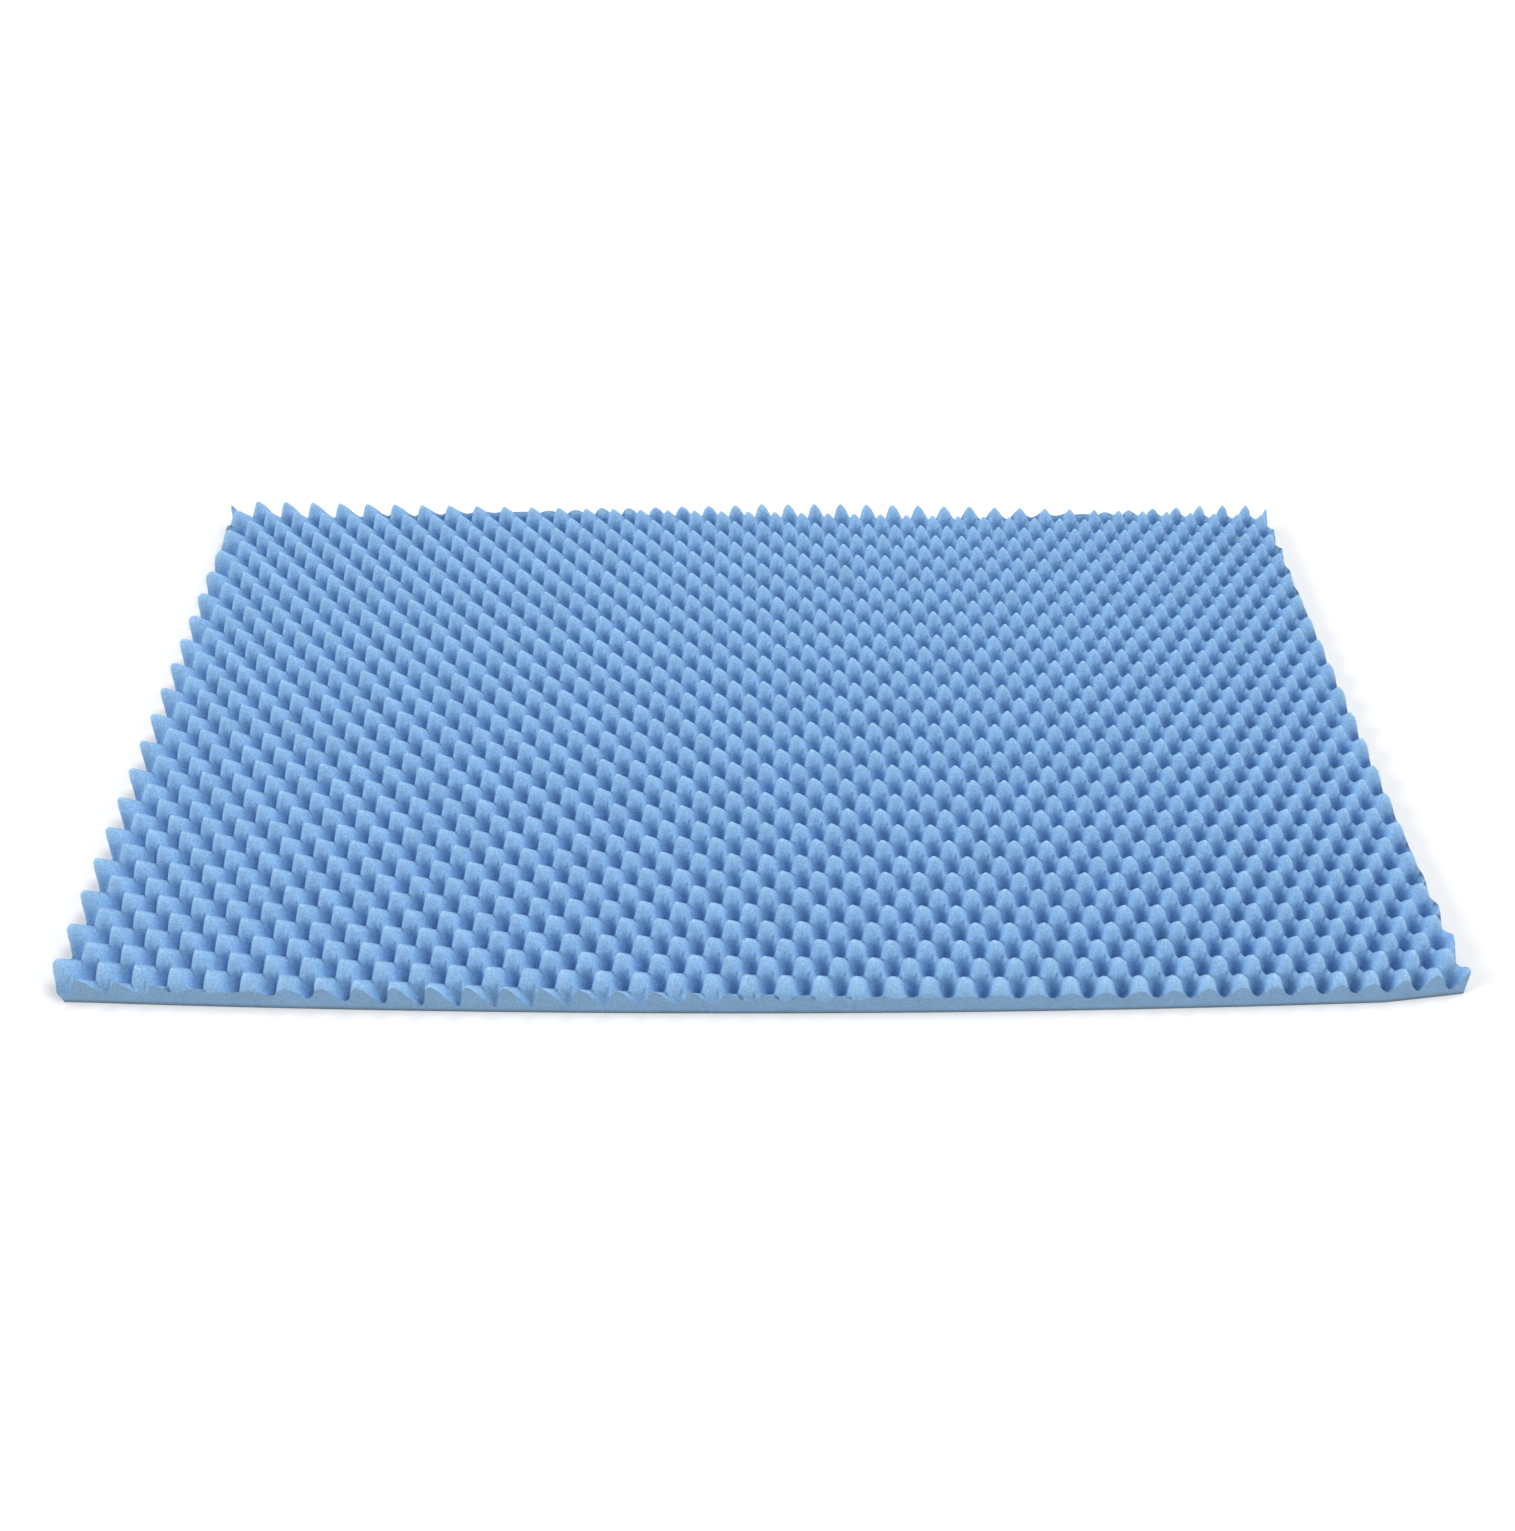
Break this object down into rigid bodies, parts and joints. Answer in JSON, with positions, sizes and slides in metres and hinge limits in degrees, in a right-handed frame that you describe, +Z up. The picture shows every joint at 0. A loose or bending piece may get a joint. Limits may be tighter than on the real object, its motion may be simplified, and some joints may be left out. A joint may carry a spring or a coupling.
{
  "type": "mattress topper",
  "caption": "Flat rectangular mattress topper of convoluted foam, with rounded peaks and pits over its upper face and a flat underside.",
  "frame": {"origin": "on the underside, at the middle of the pad's outline", "axes": "+X along the long sides to the right, +Y along the short sides to the back, +Z up through the peaks"},
  "size_m": [1.8556, 0.844, 0.056],
  "materials": {
    "foam_blue": "matte open-cell foam with a fine grain"
  },
  "bodies": {
    "root": {"foam_pad": "foam_blue"}
  },
  "joints": []
}
